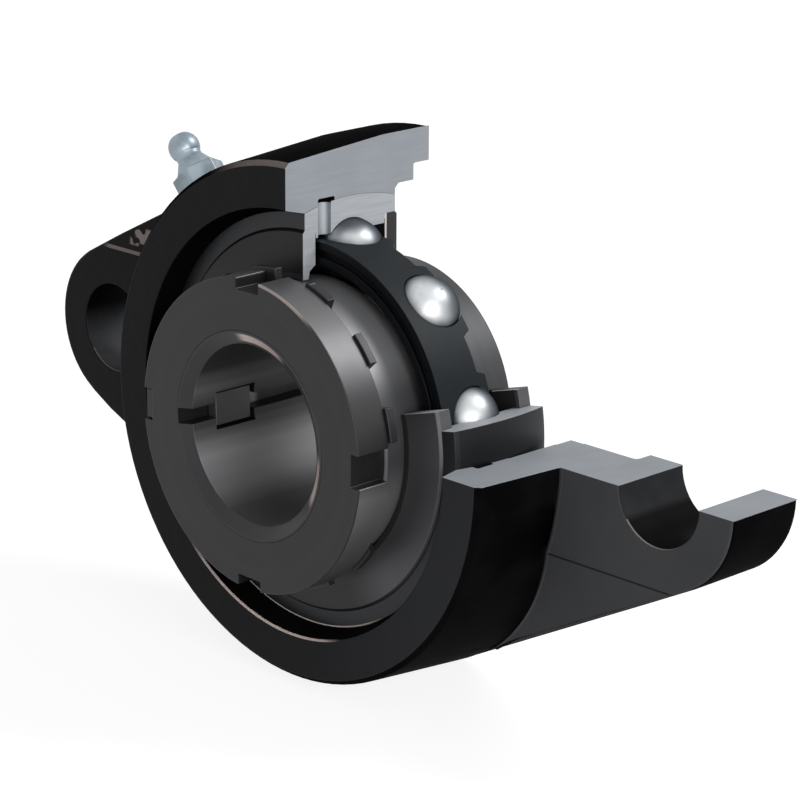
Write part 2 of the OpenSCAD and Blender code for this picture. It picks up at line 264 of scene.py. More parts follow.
def castWall(tree):
    here = tree.place()
    grain = tree.noise(here, castLook["grain"], 3.0, 0.6)
    cloud = tree.noise(here, wallLook["clouds"], 3.0)
    colour = tree.blend(cloud.ramp(0.35, 0.7), wallLook["dark"], wallLook["light"])
    # painted shade: darker high up
    high = tree.parts(here)[2].ramp(*wallLook["highShadeFade"])
    colour = tree.blend(high * 0.85, colour, wallLook["high"])
    # the painted highlights on the front edges reach onto the walls
    colour = tree.blend(wornFront(tree, grain), colour, highlightLook["colour"])
    return {"Base Color": colour, "Roughness": wallLook["roughness"] + 0.12 * cloud + 0.16 * high,
            "Normal": tree.bump(grain, castLook["grainDepth"], 0.6)}


housingWall = surface("housingWall", {"Specular IOR Level": wallLook["specular"]}, castWall)

# Bolt holes: drilled rings, painted shade above in the left one, painted light only near the top in the
# halved right one, and a painted highlight on the lower rim
holeLook = {"shadedTone": (0.0012, 0.0012, 0.0013), "open": (0.115, 0.118, 0.128), "rings": 3600.0, "clouds": 300.0,
            "leftShade": (-3.5 * mm, 3.0 * mm), "rightFade": (-5.6 * mm, -4.2 * mm), "rightLight": 0.22,
            "rimPlace": (-14.9 * mm, 0.12 * mm, 0.12 * mm), "rimBelow": -5.0 * mm, "rimHighlight": 0.3,
            "roughness": 0.42, "specular": 0.02}


def boltHole(tree):
    x, y, z = tree.parts(tree.place())
    # painted light and shade on the hole walls
    lit = 1.0 - z.ramp(*holeLook["leftShade"]) * (x < 0.0)
    lit = lit * (1.0 - (x > 0.0) * (1.0 - holeLook["rightLight"] * z.ramp(*holeLook["rightFade"])))
    rings = tree.noise(tree.vector(0.0, y, 0.0), holeLook["rings"], 2.0)
    cloud = tree.noise(tree.place(), holeLook["clouds"], 2.0)
    # painted highlight on the lower rim
    paintedRimLight = y.band(*holeLook["rimPlace"]) * (z < holeLook["rimBelow"])
    colour = tree.blend(lit * (0.6 + 0.6 * cloud), holeLook["shadedTone"], holeLook["open"])
    colour = tree.blend(paintedRimLight * holeLook["rimHighlight"], colour, highlightLook["colour"])
    return {"Base Color": colour, "Roughness": holeLook["roughness"] + 0.15 * cloud,
            "Normal": tree.bump(rings, 0.012 * mm, 0.5)}


holeWall = surface("holeWall", {"Specular IOR Level": holeLook["specular"]}, boltHole)

# Sawn faces: fine strokes along the saw's way and small pores
ironLook = {"light": (0.335, 0.358, 0.390), "dark": (0.290, 0.312, 0.342), "pore": (0.12, 0.13, 0.14),
            "roughness": 0.52, "specular": 0.25, "strokes": 1800.0, "pores": 2600.0, "clouds": 90.0}


def sawnIron(tree):
    here = tree.place()
    x, y, z = tree.parts(here)
    strokes = tree.noise(tree.vector(x + z, y * 0.06, 0.0), ironLook["strokes"], 2.0)
    pores = tree.noise(here, ironLook["pores"], 2.0)
    cloud = tree.noise(here, ironLook["clouds"], 2.0)
    colour = tree.blend((cloud * 0.6 + strokes * 0.4).ramp(0.3, 0.7), ironLook["dark"], ironLook["light"])
    colour = tree.blend(pores.ramp(0.66, 0.74) * 0.25, colour, ironLook["pore"])
    normal = tree.bump(strokes * 0.7 + pores * 0.3, 0.02 * mm, 0.5)
    return {"Base Color": colour, "Roughness": ironLook["roughness"] + 0.1 * strokes, "Normal": normal}


bareIron = surface("bareIron", {"Specular IOR Level": ironLook["specular"]}, sawnIron)

steelLook = {"light": (0.440, 0.462, 0.488), "dark": (0.385, 0.405, 0.430),
             "roughness": 0.42, "specular": 0.3, "metallic": 0.1, "strokes": 2200.0}


def sawnSteel(tree):
    x, y, z = tree.parts(tree.place())
    strokes = tree.noise(tree.vector(x + z, y * 0.06, 0.0), steelLook["strokes"], 2.0)
    colour = tree.blend(strokes.ramp(0.3, 0.7), steelLook["dark"], steelLook["light"])
    return {"Base Color": colour, "Roughness": steelLook["roughness"] + 0.12 * strokes,
            "Normal": tree.bump(strokes, 0.01 * mm, 0.5)}


steelFixed = {"Specular IOR Level": steelLook["specular"], "Metallic": steelLook["metallic"]}
bareSteel = surface("bareSteel", steelFixed, sawnSteel)


# Turned steel under a dark finish: rings from the lathe, soft blotches, and a tone that a piece may shift
def turnedSteel(name, look, tone=None):
    def recipe(tree):
        radius, along, angle = tree.turning()
        spiral = tree.vector(radius, along, 0.0)
        rings = tree.noise(spiral, 5200.0, 2.0, 0.7)
        broad = tree.noise(spiral, 420.0, 2.0)
        cloud = tree.noise(tree.place(), 120.0, 3.0, 0.6)
        colour = tree.blend((0.5 * cloud + 0.5 * broad).ramp(0.3, 0.7), look["dark"], look["light"])
        inputs = {"Base Color": colour, "Roughness": look["roughness"] + 0.12 * (cloud - 0.4),
                  "Normal": tree.bump(rings, 0.006 * mm, 0.5)}
        if tone:
            inputs.update(tone(tree, colour, radius, along, angle))
        return inputs

    return surface(name, {"Metallic": look["metallic"]}, recipe)


# The nut's rim gets painted highlights and shade round the shaft axis: its stops run from straight down to
# straight up
nutFinish = {"light": (0.033, 0.033, 0.035), "dark": (0.027, 0.027, 0.029),
             "roughness": 0.40, "metallic": 0.7, "rimRadius": 25.7 * mm, "rimFront": -39.9 * mm,
             "edgeRadius": 25.86 * mm, "edgePlace": -40.2 * mm, "edgeAngles": (75.0, 10.0, 12.0),
             "edgeHighlight": 0.4,
             "rimLightAndShade": [(0.10, (0.012, 0.012, 0.013)), (0.26, (0.150, 0.150, 0.155)),
                          (0.44, (0.300, 0.300, 0.308)), (0.50, (0.030, 0.030, 0.032)),
                          (0.64, (0.045, 0.045, 0.047)), (0.82, (0.130, 0.130, 0.134))]}


def nutTone(tree, colour, radius, along, angle):
    # painted highlights and shade on the rim
    paintedRimLight = tree.node("ShaderNodeValToRGB", {"stops": nutFinish["rimLightAndShade"]}, {"Fac": angle / 180.0 + 0.5})
    colour = tree.blend((radius > nutFinish["rimRadius"]) * (along > nutFinish["rimFront"]), colour, paintedRimLight)
    # painted highlight line on the front edge
    highlight = tree.edgeLine(nutFinish["edgeRadius"], nutFinish["edgePlace"], *nutFinish["edgeAngles"])
    highlight = highlight * nutFinish["edgeHighlight"]
    return {"Base Color": tree.blend(highlight, colour, highlightLook["colour"]),
            "Metallic": nutFinish["metallic"] * (1.0 - highlight)}


nutSteel = turnedSteel("nutSteel", nutFinish, nutTone)

# The washer's tongue in the sleeve's slit catches light
washerFinish = {"light": (0.040, 0.040, 0.043), "dark": (0.028, 0.028, 0.030),
                "roughness": 0.42, "metallic": 0.7,
                "tongueRadius": 17.2 * mm, "tongue": (0.115, 0.115, 0.120)}


def washerTone(tree, colour, radius, along, angle):
    return {"Base Color": tree.blend(radius < washerFinish["tongueRadius"], colour, washerFinish["tongue"])}


washerSteel = turnedSteel("washerSteel", washerFinish, washerTone)

# Inner ring: painted light on its front band, with less of it on the right where a highlight falls
innerFinish = {"light": (0.050, 0.051, 0.054), "dark": (0.038, 0.039, 0.041),
               "roughness": 0.46, "metallic": 0.6,
               "front": (0.280, 0.282, 0.290), "frontRightShading": (0.095, 0.096, 0.100),
               "rightAngles": (10.0, 11.0, 19.0), "frontFade": (-23.4 * mm, -21.8 * mm)}


def innerTone(tree, colour, radius, along, angle):
    # painted light on the front band, less on the right
    onRight = angle.band(*innerFinish["rightAngles"])
    front = tree.blend(onRight, innerFinish["front"], innerFinish["frontRightShading"])
    return {"Base Color": tree.blend(1.0 - along.ramp(*innerFinish["frontFade"]), colour, front)}


innerSteel = turnedSteel("innerSteel", innerFinish, innerTone)

# Painted light and shade: streaks along the bore over a full turn, set to the bands of light and shade there,
# and a painted highlight on the mouth
sleeveFinish = {"light": (0.040, 0.040, 0.043), "dark": (0.032, 0.032, 0.034),
                "roughness": 0.34, "metallic": 0.7, "boreRadius": 15.05 * mm,
                "frontRoughness": 0.36, "boreRoughness": 0.56, "boreMetallic": 0.1,
                "mouth": (0.80, 0.66, 0.60), "mouthFront": -39.0 * mm,
                "mouthRadius": (16.2 * mm, 0.5 * mm, 0.3 * mm), "mouthAbove": (80.0, 12.0, 10.0),
                "mouthRight": (-14.0, 9.0, 9.0), "mouthHighlight": 0.9,
                "boreLightAndShade": [(0.0, (0.040, 0.040, 0.042)), (0.32, (0.008, 0.008, 0.009)),
                              (0.41, (0.018, 0.018, 0.019)), (0.455, (0.120, 0.120, 0.123)),
                              (0.49, (0.030, 0.030, 0.031)), (0.53, (0.045, 0.045, 0.047)),
                              (0.575, (0.270, 0.270, 0.278)), (0.645, (0.160, 0.160, 0.166)),
                              (0.69, (0.065, 0.065, 0.067))]}


def sleeveTone(tree, colour, radius, along, angle):
    wobble = 0.03 * tree.noise(tree.vector(angle * 0.02, along * 0.3, 0.0), 6.0, 2.0)
    turn = (angle + 360.0 * (angle < 0.0)) / 360.0 + wobble - 0.015
    # painted light and shade in the bore
    paintedStreaks = tree.node("ShaderNodeValToRGB", {"stops": sleeveFinish["boreLightAndShade"]}, {"Fac": turn})
    inBore = radius < sleeveFinish["boreRadius"]
    colour = tree.blend(inBore, colour, paintedStreaks)
    # painted highlight on the mouth
    mouth = (along < sleeveFinish["mouthFront"]) * radius.band(*sleeveFinish["mouthRadius"])
    highlight = angle.band(*sleeveFinish["mouthAbove"]).atLeast(angle.band(*sleeveFinish["mouthRight"]))
    highlight = mouth * highlight * sleeveFinish["mouthHighlight"]
    colour = tree.blend(highlight, colour, sleeveFinish["mouth"])
    duller = sleeveFinish["boreRoughness"] - sleeveFinish["frontRoughness"]
    lessMetal = (sleeveFinish["metallic"] - sleeveFinish["boreMetallic"]) * inBore.atLeast(0.7 * highlight)
    return {"Base Color": colour, "Metallic": sleeveFinish["metallic"] - lessMetal,
            "Roughness": sleeveFinish["frontRoughness"] + duller * inBore}


sleeveSteel = turnedSteel("sleeveSteel", sleeveFinish, sleeveTone)

# The lubrication hole is bare, the bore behind the ball is painted lighter as painted light in its shade, and
# a painted highlight runs on the front edge below
ringFinish = {"light": (0.026, 0.027, 0.029), "dark": (0.018, 0.019, 0.021),
              "roughness": 0.36, "metallic": 0.7,
              "edgeRadius": 34.58 * mm, "edgePlace": -27.7 * mm, "edgeAngles": (-91.0, 24.0, 10.0),
              "seatFrom": 34.8 * mm, "seat": (0.013, 0.0135, 0.015),
              "bareAndLitFrom": 29.0 * mm, "bareAndLitTo": 35.5 * mm, "bareAndLitAngles": (102.0, 20.0, 0.5),
              "holePlace": (-23.0 * mm, 1.8 * mm, 0.1 * mm),
              "hole": (0.34, 0.37, 0.40), "behindPlace": (-11.5 * mm, 3.5 * mm, 0.1 * mm),
              "behind": (0.40, 0.41, 0.42)}


def ringTone(tree, colour, radius, along, angle):
    # painted highlight line on the front edge below
    highlight = tree.edgeLine(ringFinish["edgeRadius"], ringFinish["edgePlace"], *ringFinish["edgeAngles"])
    colour = tree.blend(highlight, colour, highlightLook["colour"])
    bareAndLit = (radius < ringFinish["bareAndLitTo"]) * (radius > ringFinish["bareAndLitFrom"])
    bareAndLit = bareAndLit * angle.band(*ringFinish["bareAndLitAngles"])
    colour = tree.blend(radius > ringFinish["seatFrom"], colour, ringFinish["seat"])
    colour = tree.blend(bareAndLit * along.band(*ringFinish["holePlace"]), colour, ringFinish["hole"])
    # painted light on the bore behind the ball
    colour = tree.blend(bareAndLit * along.band(*ringFinish["behindPlace"]), colour, ringFinish["behind"])
    return {"Base Color": colour, "Metallic": ringFinish["metallic"] * (1.0 - highlight)}


ringSteel = turnedSteel("ringSteel", ringFinish, ringTone)

# Sheet of the seals: painted light on the right, painted shade where the housing above shades it
sealFinish = {"light": (0.022, 0.022, 0.024), "dark": (0.016, 0.016, 0.018),
              "roughness": 0.44, "metallic": 0.5,
              "lit": (0.090, 0.090, 0.096), "litAngles": (-18.0, 26.0, 26.0),
              "shade": (0.005, 0.005, 0.006), "shadeAngles": (105.0, 16.0, 25.0)}


def sealTone(tree, colour, radius, along, angle):
    colour = tree.blend(angle.band(*sealFinish["litAngles"]), colour, sealFinish["lit"])
    return {"Base Color": tree.blend(angle.band(*sealFinish["shadeAngles"]), colour, sealFinish["shade"])}


sealSheet = turnedSteel("sealSheet", sealFinish, sealTone)

# Cut face of the rear seal, with a painted highlight line along its sheet
sealCutFinish = {"light": (0.016, 0.016, 0.018), "dark": (0.011, 0.011, 0.013),
                 "roughness": 0.5, "metallic": 0.3,
                 "line": (0.62, 0.56, 0.54), "linePlace": (-9.9 * mm, 0.25 * mm, 0.1 * mm)}


def sealCutTone(tree, colour, radius, along, angle):
    return {"Base Color": tree.blend(along.band(*sealCutFinish["linePlace"]), colour, sealCutFinish["line"])}


sealCut = turnedSteel("sealCut", sealCutFinish, sealCutTone)

rubberLook = {"light": (0.018, 0.018, 0.019), "dark": (0.010, 0.010, 0.011),
              "roughness": 0.55, "specular": 0.3, "pores": 1800.0}


def rubber(tree):
    fine = tree.noise(tree.place(), rubberLook["pores"], 3.0)
    colour = tree.blend(fine, rubberLook["dark"], rubberLook["light"])
    return {"Base Color": colour, "Roughness": rubberLook["roughness"] + 0.2 * fine,
            "Normal": tree.bump(fine, 0.03 * mm, 0.5)}


sealRubber = surface("sealRubber", {"Specular IOR Level": rubberLook["specular"]}, rubber)

# Moulded cage, with painted shade on its front face down between the rings
plasticLook = {"light": (0.0060, 0.0090, 0.0115), "dark": (0.0042, 0.0066, 0.0086),
               "front": (0.0012, 0.0016, 0.0024), "frontPlace": -22.0 * mm, "frontRadius": 29.45 * mm,
               "roughness": 0.42, "specular": 0.14, "clouds": 140.0, "grain": 2400.0}


def cagePlastic(tree):
    radius, along, angle = tree.turning()
    cloud = tree.noise(tree.place(), plasticLook["clouds"], 2.0)
    fine = tree.noise(tree.place(), plasticLook["grain"], 2.0)
    colour = tree.blend(cloud.ramp(0.3, 0.7), plasticLook["dark"], plasticLook["light"])
    # painted shade on the front face
    front = (along < plasticLook["frontPlace"]) * (radius < plasticLook["frontRadius"])
    colour = tree.blend(front, colour, plasticLook["front"])
    return {"Base Color": colour, "Roughness": plasticLook["roughness"] + 0.12 * cloud,
            "Normal": tree.bump(fine, 0.012 * mm, 0.4)}


cagePolymer = surface("cagePolymer", {"Specular IOR Level": plasticLook["specular"]}, cagePlastic)

# Polished balls with painted shade round their foot, behind, at the top and low down
ballLook = {"light": (0.62, 0.64, 0.65), "dark": (0.54, 0.56, 0.58), "side": (0.070, 0.082, 0.095),
            "grease": (0.070, 0.080, 0.090), "greaseFade": (28.9 * mm, 30.9 * mm),
            "behind": (-20.5 * mm, -16.2 * mm), "above": (30.0 * mm, 31.8 * mm), "low": (0.0, 14.0 * mm),
            "roughness": 0.38, "clouds": 500.0, "tint": (0.10, 0.12, 0.14)}


def ballSteel(tree):
    radius, along, angle = tree.turning()
    height = tree.parts(tree.place())[2]
    cloud = tree.noise(tree.place(), ballLook["clouds"], 3.0, 0.6)
    bright = tree.blend(cloud.ramp(0.4, 0.75), ballLook["light"], ballLook["dark"])
    # painted shade behind, at the top and low down
    paintedShade = along.ramp(*ballLook["behind"]).atLeast(height.ramp(*ballLook["above"]))
    paintedShade = paintedShade.atLeast(0.4 - 0.4 * height.ramp(*ballLook["low"]))
    bright = tree.blend(paintedShade * 0.85, bright, ballLook["side"])
    # painted shade round the foot
    colour = tree.blend(radius.ramp(*ballLook["greaseFade"]), ballLook["grease"], bright)
    return {"Base Color": colour, "Roughness": ballLook["roughness"] + 0.10 * cloud}


ballPolished = surface("ballPolished", {"Metallic": 1.0, "Specular Tint": ballLook["tint"]}, ballSteel)

zincLook = {"light": (0.36, 0.43, 0.48), "dark": (0.22, 0.27, 0.31), "roughness": 0.3, "metallic": 0.65,
            "spangles": 900.0, "clouds": 260.0}


def zinc(tree):
    spangle = tree.noise(tree.place(), zincLook["spangles"], 2.0)
    cloud = tree.noise(tree.place(), zincLook["clouds"], 3.0)
    colour = tree.blend(cloud.ramp(0.35, 0.7), zincLook["dark"], zincLook["light"])
    return {"Base Color": colour, "Roughness": zincLook["roughness"] + 0.2 * spangle,
            "Normal": tree.bump(spangle, 0.02 * mm, 0.4)}


nippleZinc = surface("nippleZinc", {"Metallic": zincLook["metallic"]}, zinc)
print("materials made")


def newPiece(name, mesh):
    piece = bpy.data.objects.new(name, mesh)
    bpy.context.scene.collection.objects.link(piece)
    return piece


# Doubles merged and flat faces joined, so that edges round evenly, then cut so that no face has a hole
def cleanMesh(mesh, merging=0.002 * mm, centre=(0, 0, 0), across=((1, 0, 0), (0, 0, 1))):
    custom = mesh.attributes.get("custom_normal")
    if custom:
        mesh.attributes.remove(custom)
    shape = bmesh.new()
    shape.from_mesh(mesh)
    bmesh.ops.remove_doubles(shape, verts=shape.verts, dist=merging)
    bmesh.ops.dissolve_limit(shape, angle_limit=0.4 * degree, verts=shape.verts, edges=shape.edges)
    for way in across:
        everything = shape.verts[:] + shape.edges[:] + shape.faces[:]
        bmesh.ops.bisect_plane(shape, geom=everything, dist=0.001 * mm, plane_co=centre, plane_no=way)
    shape.to_mesh(mesh)
    shape.free()
    return mesh


nippleLook = {"angle": 132 * degree, "place": -23 * mm, "reach": 7 * mm, "rounding": 0.2 * mm}
nippleAside = (-math.sin(nippleLook["angle"]), 0.0, math.cos(nippleLook["angle"]))


def copyOf(nodeName, pieceName):
    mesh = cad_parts[nodeName].data.copy()
    mesh.materials.clear()
    if nodeName == "grease_nipple":
        centre = (0, nippleLook["place"], 0)
        return newPiece(pieceName, cleanMesh(mesh, centre=centre, across=((0, 1, 0), nippleAside)))
    return newPiece(pieceName, cleanMesh(mesh))


# Faces that lie on a sawing plane through the shaft axis get the second material
def markCuts(piece, angles):
    for face in piece.data.polygons:
        for angle in angles:
            across = Vector((-math.sin(angle * degree), 0.0, math.cos(angle * degree)))
            facing = across if angle < 45 else -across
            if face.normal.dot(facing) > 0.999 and abs(face.center.dot(across)) < 0.02 * mm:
                face.material_index = 1


# An edge's bevel weight is its rounding over the piece's largest one; edges that meet narrowly get little
tightRounding = 0.05 * mm


def roundEdges(piece, widest, widthOf, sharpAngle=24.0, segments=2):
    shape = bmesh.new()
    shape.from_mesh(piece.data)
    layers = shape.edges.layers.float
    weight = layers.get("bevel_weight_edge") or layers.new("bevel_weight_edge")
    sharp = {edge for edge in shape.edges
             if len(edge.link_faces) == 2 and edge.calc_face_angle(0.0) > sharpAngle * degree}
    tight = set()
    for vert in shape.verts:
        meeting = [edge for edge in vert.link_edges if edge in sharp]
        ways = [(edge.other_vert(vert).co - vert.co).normalized() for edge in meeting]
        if any(one.dot(other) > 0.8 for one, other in combinations(ways, 2)):
            tight.update(meeting)
    for edge in sharp:
        middle = (edge.verts[0].co + edge.verts[1].co) / 2
        width = min(widthOf(middle, edge), tightRounding if edge in tight else widest)
        edge[weight] = min(1.0, width / widest)
    shape.to_mesh(piece.data)
    shape.free()
    piece.data.shade_smooth()
    piece.data.set_sharp_from_angle(angle=sharpAngle * degree)
    bevel = piece.modifiers.new("rounding", "BEVEL")
    bevel.limit_method = "WEIGHT"
    bevel.width = widest
    bevel.segments = segments
    bevel.use_clamp_overlap = False
    bevel.harden_normals = True
    bevel.miter_outer = "MITER_ARC"


def standFor(piece, nodeName, body, widest, widthOf=None):
    roundEdges(piece, widest, widthOf or (lambda middle, edge: widest))
    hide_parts(nodeName)
    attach(piece, body)


def dressNode(nodeName, pieceName, body, materials, angles, widest, widthOf=None):
    piece = copyOf(nodeName, pieceName)
    for material in materials:
        piece.data.materials.append(material)
    markCuts(piece, angles)
    standFor(piece, nodeName, body, widest, widthOf)
    return piece


def onCut(edge):
    return any(face.material_index == 1 for face in edge.link_faces)


housingLook = {"castRounding": 0.7 * mm, "cutRounding": 0.05 * mm, "machinedRounding": 0.3 * mm,
               "machinedRadius": 39.6 * mm, "frontRounding": 0.25 * mm, "frontPlace": -30 * mm,
               "holeAcross": 65 * mm, "holeEdge": 8.4 * mm, "holeWall": 8.3 * mm, "wallSlope": 0.75,
               "throatFront": -8 * mm, "throatBack": -6.5 * mm, "throatRadius": 38 * mm, "cutAngles": (0, 90)}


def nearHole(place):
    return math.hypot(abs(place.x) - housingLook["holeAcross"], place.z)


def nearNipple(place):
    return math.hypot(place.dot(Vector(nippleAside)), place.y - nippleLook["place"]) < nippleLook["reach"]


def housingWidth(middle, edge):
    away = math.hypot(middle.x, middle.z)
    inThroat = housingLook["throatFront"] < middle.y < housingLook["throatBack"]
    inThroat = inThroat and away < housingLook["throatRadius"]
    if onCut(edge) or inThroat or nearNipple(middle):
        return housingLook["cutRounding"]
    if middle.y < housingLook["frontPlace"]:
        return housingLook["frontRounding"]
    if away < housingLook["machinedRadius"] or nearHole(middle) < housingLook["holeEdge"]:
        return housingLook["machinedRounding"]
    return housingLook["castRounding"]


housing = copyOf("housing", "housingCast")
for material in (housingPaint, bareIron, housingWall, holeWall):
    housing.data.materials.append(material)
markCuts(housing, housingLook["cutAngles"])
for face in housing.data.polygons:
    if face.material_index == 0 and abs(face.normal.y) < housingLook["wallSlope"]:
        face.material_index = 3 if nearHole(face.center) < housingLook["holeWall"] else 2
standFor(housing, "housing", "housing", housingLook["castRounding"], housingWidth)

# The mouth of the lubrication hole is rounded little, because the ball track runs close by
ringLook = {"rounding": 0.15 * mm, "fineRounding": 0.03 * mm, "cutAngles": (10, 90), "holeHalfWidth": 2 * mm,
            "holeLow": 29 * mm, "holeHigh": 31.5 * mm, "holeBack": -20 * mm}


def outerRingWidth(middle, edge):
    atHole = abs(middle.x) < ringLook["holeHalfWidth"] and middle.y < ringLook["holeBack"]
    atHole = atHole and ringLook["holeLow"] < middle.z < ringLook["holeHigh"]
    return ringLook["fineRounding"] if onCut(edge) or atHole else ringLook["rounding"]


dressNode("outer_ring", "outerRing", "outer", [ringSteel, bareSteel],
          ringLook["cutAngles"], ringLook["rounding"], outerRingWidth)

innerLook = {"rounding": 0.2 * mm}
dressNode("inner_ring", "innerRing", "inner", [innerSteel], (), innerLook["rounding"])

sealLook = {"rounding": 0.1 * mm, "cutRounding": 0.02 * mm, "cutAngles": (15.5, 90)}


def sealWidth(middle, edge):
    return sealLook["cutRounding"] if onCut(edge) else sealLook["rounding"]


for side, cutFace in (("front", bareSteel), ("rear", sealCut)):
    dressNode(side + "_seal_plate", side + "SealSheet", "outer", [sealSheet, cutFace],
              sealLook["cutAngles"], sealLook["rounding"], sealWidth)
    dressNode(side + "_seal_lip", side + "SealRubber", "outer", [sealRubber, cutFace],
              sealLook["cutAngles"], sealLook["rounding"], sealWidth)

# The shoulder behind the thread is a thin ring, so its edges are rounded little
sleeveLook = {"rounding": 0.1 * mm, "fineRounding": 0.03 * mm,
              "shoulderPlace": -32.2 * mm, "shoulderReach": 0.5 * mm}


def sleeveWidth(middle, edge):
    atShoulder = abs(middle.y - sleeveLook["shoulderPlace"]) < sleeveLook["shoulderReach"]
    return sleeveLook["fineRounding"] if atShoulder else sleeveLook["rounding"]


dressNode("adapter_sleeve", "adapterSleeve", "inner", [sleeveSteel], (),
          sleeveLook["rounding"], sleeveWidth)
dressNode("grease_nipple", "greaseNipple", "housing", [nippleZinc], (),
          nippleLook["rounding"])
print("housing, rings, seals, sleeve and nipple dressed")


# Geometry Nodes: the tree is built with the shaft axis upright and turned to face the front at its end
class Grower(Tree):
    def drum(self, low, high, bottom, top, sides=144):
        inputs = {"Vertices": sides, "Radius Bottom": low, "Radius Top": high, "Depth": top - bottom}
        return self.moved(self.node("GeometryNodeMeshCone", inputs=inputs), 0.0, 0.0, bottom)

    def block(self, near, far, width, bottom, top):
        size = self.vector(far - near, width, top - bottom)
        cube = self.node("GeometryNodeMeshCube", inputs={"Size": size})
        return self.moved(cube, (near + far) / 2, 0.0, (bottom + top) / 2)

    def moved(self, shape, x, y, z):
        inputs = {"Geometry": shape, "Translation": self.vector(x, y, z)}
        return self.node("GeometryNodeTransform", inputs=inputs)

    def tilted(self, shape, x, y, z):
        return self.node("GeometryNodeTransform", inputs={"Geometry": shape, "Rotation": (x, y, z)})

    def joined(self, *shapes):
        settings = {"operation": "UNION", "solver": "EXACT"}
        return self.node("GeometryNodeMeshBoolean", settings, {1: list(shapes)})

    def carved(self, shape, *tools):
        settings = {"operation": "DIFFERENCE", "solver": "EXACT"}
        return self.node("GeometryNodeMeshBoolean", settings, {0: shape, 1: list(tools)})

    def ring(self, outer, inner, bottom, top):
        bore = self.drum(inner, inner, bottom - spare, top + spare)
        return self.carved(self.drum(outer, outer, bottom, top), bore)

    # Copies of a shape round the shaft axis, the first at a start angle in degrees
    def around(self, shape, count, start, wanted=None):
        index = self.node("GeometryNodeInputIndex")
        points = self.node("GeometryNodePoints", inputs={"Count": count})
        inputs = {"Points": points, "Instance": shape,
                  "Rotation": self.vector(0.0, 0.0, (index * 360.0 / count + start) * degree)}
        if wanted:
            inputs["Selection"] = wanted(index)
        copies = self.node("GeometryNodeInstanceOnPoints", inputs=inputs)
        return self.node("GeometryNodeRealizeInstances", inputs={"Geometry": copies})


def grow(pieceName, sizes, recipe, material):
    group = bpy.data.node_groups.new(pieceName, "GeometryNodeTree")
    tree = Grower(group)
    keys = {}
    for label, size in sizes.items():
        kind = "NodeSocketInt" if isinstance(size, int) else "NodeSocketFloat"
        keys[label] = group.interface.new_socket(name=label, in_out="INPUT", socket_type=kind).identifier
    group.interface.new_socket(name="Geometry", in_out="OUTPUT", socket_type="NodeSocketGeometry")
    entry = group.nodes.new("NodeGroupInput")
    upright = recipe(tree, {label: Wire(tree, entry.outputs[label]) for label in sizes})
    facing = tree.tilted(upright, 90 * degree, 0.0, 0.0)
    whole = tree.node("GeometryNodeRealizeInstances", inputs={"Geometry": facing})
    dressed = tree.node("GeometryNodeSetMaterial", inputs={"Geometry": whole, "Material": material})
    tree.node("NodeGroupOutput", inputs={"Geometry": dressed})
    carrier = newPiece(pieceName + "Carrier", bpy.data.meshes.new(pieceName + "Carrier"))
    modifier = carrier.modifiers.new("shape", "NODES")
    modifier.node_group = group
    for label, size in sizes.items():
        modifier[keys[label]] = size
    depsgraph = bpy.context.evaluated_depsgraph_get()
    mesh = bpy.data.meshes.new_from_object(carrier.evaluated_get(depsgraph), depsgraph=depsgraph)
    bpy.data.objects.remove(carrier)
    print(pieceName, "grown,", len(mesh.polygons), "faces")
    return newPiece(pieceName, cleanMesh(mesh, merging=0.02 * mm))


# The dictionaries of the grown pieces are the inputs of their trees, so the rounding is kept apart
grownRounding = {"nut": 0.15 * mm, "washer": 0.15 * mm, "cage": 0.12 * mm}

nutLook = {"Outer radius": 26.0 * mm, "Thread radius": 17.4 * mm, "Back": 33.7 * mm, "Front": 40.2 * mm,
           "Slots": 4, "Slot width": 5.4 * mm, "Slot depth": 2.0 * mm, "First slot angle": 0.0}


def nutShape(tree, size):
    disc = tree.ring(size["Outer radius"], size["Thread radius"], size["Back"], size["Front"])
    floorRadius = size["Outer radius"] - size["Slot depth"]
    bottom, top = size["Back"] - spare, size["Front"] + spare
    slot = tree.block(floorRadius, floorRadius + 5 * spare, size["Slot width"], bottom, top)
    return tree.carved(disc, tree.around(slot, size["Slots"], size["First slot angle"]))


lockNut = grow("lockNut", nutLook, nutShape, nutSteel)
standFor(lockNut, "lock_nut", "inner", grownRounding["nut"])

washerLook = {"Bore radius": 17.5 * mm, "Disc radius": 23.4 * mm, "Tip radius": 26.6 * mm, "Back": 32.2 * mm,
              "Thickness": 1.5 * mm, "Tooth places": 13, "Tooth width": 5.5 * mm, "Empty place": 6,
              "Bent tooth angle": 180.0, "Bent tooth width": 5.0 * mm, "Bent tooth radius": 24.2 * mm,
              "Bent tooth foot": 26.0 * mm, "Bent tooth length": 7.6 * mm, "Tongue angle": 181.0,
              "Tongue width": 5.6 * mm, "Tongue radius": 15.3 * mm, "Tongue back": 26.2 * mm}


